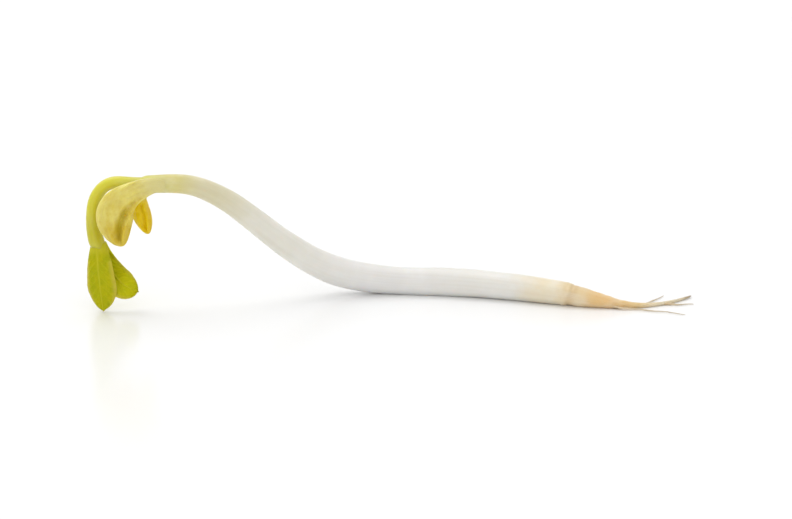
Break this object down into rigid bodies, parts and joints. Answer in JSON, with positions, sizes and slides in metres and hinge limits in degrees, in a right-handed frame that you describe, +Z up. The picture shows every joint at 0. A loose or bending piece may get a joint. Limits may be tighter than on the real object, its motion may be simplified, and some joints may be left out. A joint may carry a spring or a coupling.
{
  "type": "mung bean sprout",
  "caption": "Single mung bean sprout lying at rest: plump white stem, tapering root, yellow-green hook with seed leaves and a pair of hanging young leaves.",
  "frame": {"origin": "on the table under the middle of the sprout's bounding box", "axes": "+X along the sprout towards the root tip, -X towards the hook and leaves, +Y to the side that the stem's middle bows towards, +Z up"},
  "size_m": [0.0745, 0.0116, 0.0167],
  "materials": {
    "root": "dry tan root skin",
    "rootlet": "dry brownish root hairs",
    "stem": "moist pearly white flesh, slightly translucent",
    "green_stalk": "moist yellow-green stalk",
    "seed_leaf_front": "soft pale yellow-green, wrinkled",
    "seed_leaf_back": "soft golden yellow, wrinkled",
    "young_leaf": "satin yellow-green leaf with raised veins",
    "bud": "soft pale green"
  },
  "bodies": {
    "root": {"taproot": "root", "rootlet_1": "rootlet", "rootlet_2": "rootlet", "rootlet_3": "rootlet", "hypocotyl": "stem", "epicotyl": "green_stalk", "cotyledon_front": "seed_leaf_front", "cotyledon_back": "seed_leaf_back", "primary_leaf_front": "young_leaf", "primary_leaf_back": "young_leaf", "terminal_bud": "bud"}
  },
  "joints": []
}
